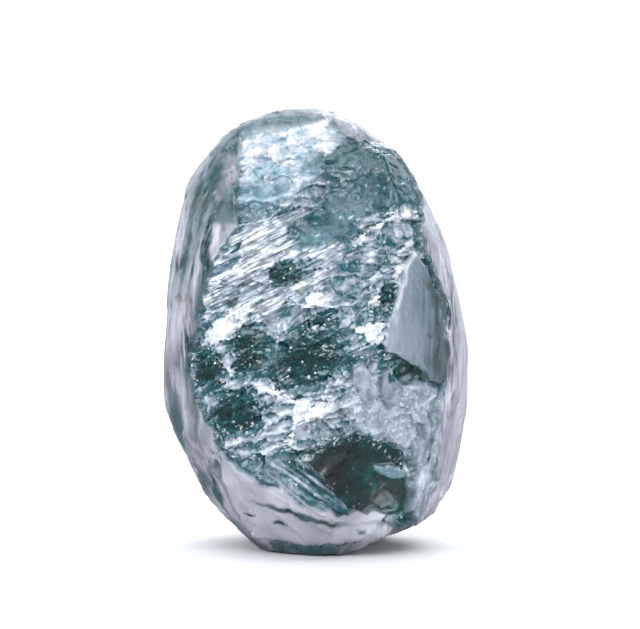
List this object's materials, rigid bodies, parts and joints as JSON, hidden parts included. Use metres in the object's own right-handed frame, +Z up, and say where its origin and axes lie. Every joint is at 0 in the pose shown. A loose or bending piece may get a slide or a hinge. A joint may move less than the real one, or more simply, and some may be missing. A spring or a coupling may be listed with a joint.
{
  "type": "rough diamond",
  "caption": "Uncut blue-green diamond crystal: a stretched rounded body with satin natural faces and a hackly broken front, standing upright on a small flat spot.",
  "frame": {"origin": "middle of the crystal's outline, on the surface that it stands on", "axes": "+Z up along the crystal's length, -Y towards the broken front, +X to the right as seen from the front"},
  "size_m": [0.0056, 0.005, 0.008],
  "materials": {
    "diamond": "see-through blue-green crystal, satin on its natural faces and bright on its breaks"
  },
  "bodies": {
    "root": {"rough_diamond": "diamond"}
  },
  "joints": []
}
